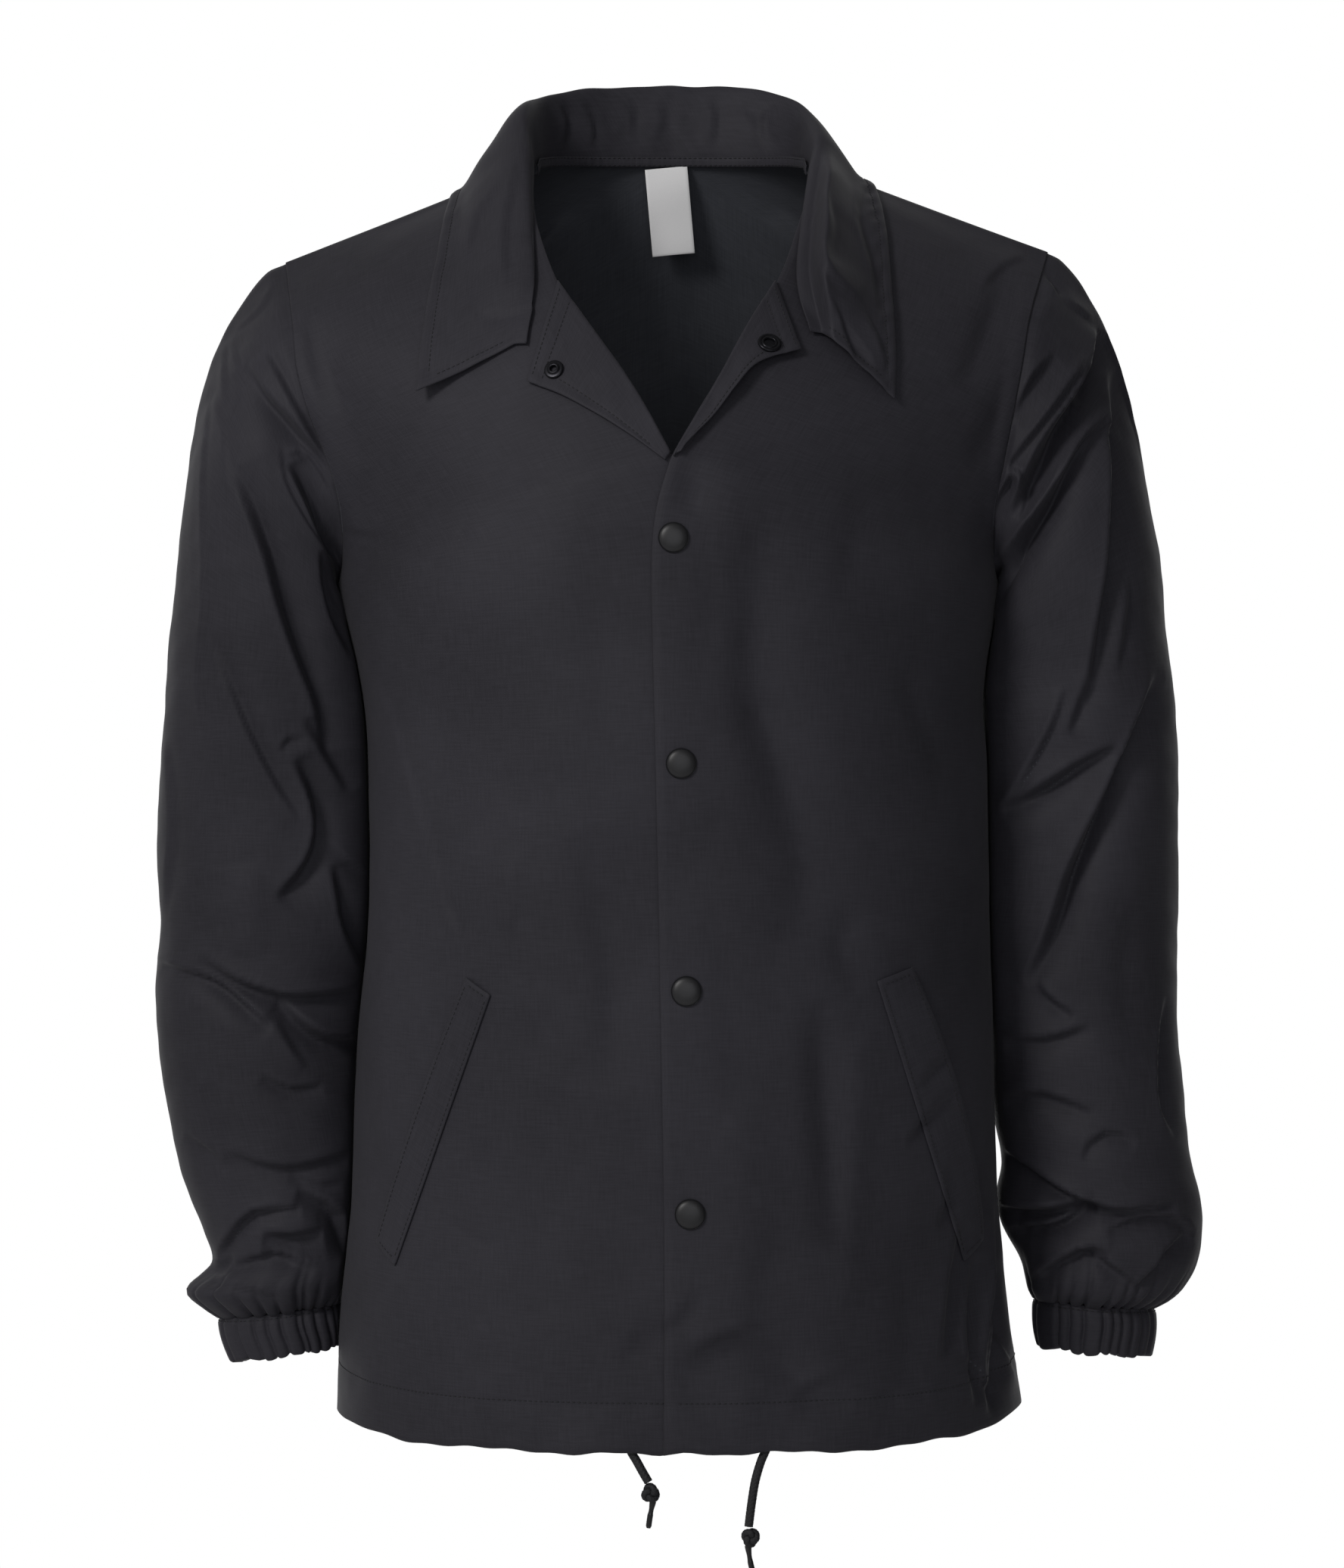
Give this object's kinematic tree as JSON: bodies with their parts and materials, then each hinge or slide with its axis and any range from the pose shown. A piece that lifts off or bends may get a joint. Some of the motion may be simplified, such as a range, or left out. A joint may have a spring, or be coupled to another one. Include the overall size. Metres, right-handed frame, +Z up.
{
  "type": "coach jacket",
  "caption": "Snap-front coach jacket in thin dark nylon with a pointed collar, slanted welt pockets, elastic cuffs and a hem drawcord, filled out as if worn.",
  "frame": {"origin": "middle of the neck opening, level with the high points of the shoulders, where the wearer holds the jacket up", "axes": "+Z up, -Y out of the front, +X to the wearer's left"},
  "size_m": [0.5997, 0.2963, 0.8339],
  "materials": {
    "nylon": "satin",
    "tape": "matte",
    "label": "satin",
    "snap": "matte",
    "cord": "matte",
    "tip": "satin"
  },
  "bodies": {
    "root": {"front_right": "nylon", "front_left": "nylon", "back": "nylon", "sleeve_right": "nylon", "sleeve_left": "nylon", "cuff_right": "nylon", "cuff_left": "nylon", "collar": "nylon", "facing_right": "nylon", "facing_left": "nylon", "welt_right": "nylon", "welt_left": "nylon", "neck_tape": "tape", "care_label": "label", "snap_cap_1": "snap", "snap_cap_2": "snap", "snap_cap_3": "snap", "snap_cap_4": "snap", "snap_socket": "snap", "snap_post": "snap", "cord_right": "cord", "cord_left": "cord", "knot_right": "cord", "knot_left": "cord", "tip_right": "tip", "tip_left": "tip"}
  },
  "joints": []
}
